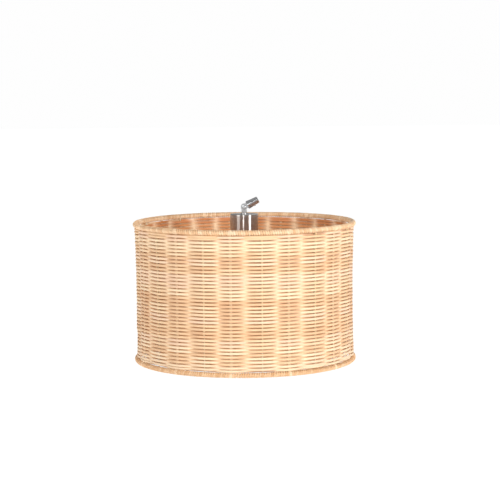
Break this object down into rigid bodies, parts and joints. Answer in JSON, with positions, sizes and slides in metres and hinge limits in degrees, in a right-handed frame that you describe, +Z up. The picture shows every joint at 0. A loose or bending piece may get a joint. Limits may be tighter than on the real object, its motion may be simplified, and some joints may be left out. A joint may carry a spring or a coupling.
{
  "type": "lamp shade",
  "caption": "Woven rattan drum shade on a wire frame, hung from a chrome cup with a screw lampholder and a tilting knuckle that clamps to a lamp's arm.",
  "frame": {"origin": "middle of the lower rim, at the level the shade stands on", "axes": "+Z up along the shade's axis, +X towards the side that the lamp's arm comes from, -Y towards the viewer"},
  "size_m": [0.3799, 0.38, 0.2802],
  "materials": {
    "rattan_weave": "woven round rattan core, natural, unvarnished",
    "rattan_cane": "natural rattan cane, unvarnished",
    "frame_wire": "steel wire with a thin cream paint",
    "chrome": "polished chrome plate",
    "holder_plastic": "moulded white thermoset",
    "contact_ceramic": "pressed steatite",
    "contact_brass": "rolled brass",
    "zinc_plated_steel": "bright zinc plate",
    "washer_nylon": "natural nylon"
  },
  "bodies": {
    "arm_fitting": {"arm_sleeve": "chrome", "knuckle_tongue": "chrome", "set_screw": "chrome"},
    "lamp_head": {"knuckle_fork": "chrome", "pivot_screw": "chrome", "pivot_nut": "chrome", "friction_washers": "washer_nylon", "cup": "chrome", "cup_locknut": "zinc_plated_steel", "holder_cap": "holder_plastic", "holder_skirt": "holder_plastic", "contact_block": "contact_ceramic", "screw_shell": "contact_brass", "centre_contact": "contact_brass", "terminal_screws": "contact_brass"},
    "shade": {"fitter_ring": "frame_wire", "spider_arm_1": "frame_wire", "spider_arm_2": "frame_wire", "spider_arm_3": "frame_wire", "top_ring": "frame_wire", "bottom_ring": "frame_wire", "frame_uprights": "frame_wire", "woven_wall": "rattan_weave", "top_binding": "rattan_cane", "bottom_binding": "rattan_cane", "stake_pair_01": "rattan_cane", "stake_pair_02": "rattan_cane", "stake_pair_03": "rattan_cane", "stake_pair_04": "rattan_cane", "stake_pair_05": "rattan_cane", "stake_pair_06": "rattan_cane", "stake_pair_07": "rattan_cane", "stake_pair_08": "rattan_cane", "stake_pair_09": "rattan_cane", "stake_pair_10": "rattan_cane", "stake_pair_11": "rattan_cane", "stake_pair_12": "rattan_cane", "stake_single_01": "rattan_cane", "stake_single_02": "rattan_cane", "stake_single_03": "rattan_cane", "stake_single_04": "rattan_cane", "stake_single_05": "rattan_cane", "stake_single_06": "rattan_cane", "stake_single_07": "rattan_cane", "stake_single_08": "rattan_cane", "stake_single_09": "rattan_cane", "stake_single_10": "rattan_cane", "stake_single_11": "rattan_cane", "stake_single_12": "rattan_cane"},
    "fixing_ring": {"shade_ring": "holder_plastic"}
  },
  "joints": [
    {"name": "shade_tilt", "type": "hinge", "parent": "arm_fitting", "child": "lamp_head", "pos_m": [0, 0, 0.2626], "axis": [0, 1, 0], "range_deg": [-30, 45]},
    {"name": "shade_drop", "type": "slide", "parent": "lamp_head", "child": "shade", "axis": [0, 0, -1], "range_m": [0, 0.015]},
    {"name": "ring_turn", "type": "hinge", "parent": "shade", "child": "fixing_ring", "pos_m": [0, 0, 0.1825], "axis": [0, 0, -1], "range_deg": [0, 2160]}
  ],
  "couplings": [
    {"joint": "ring_turn", "follows": "shade_drop", "rad_per_m": 2513.3}
  ]
}
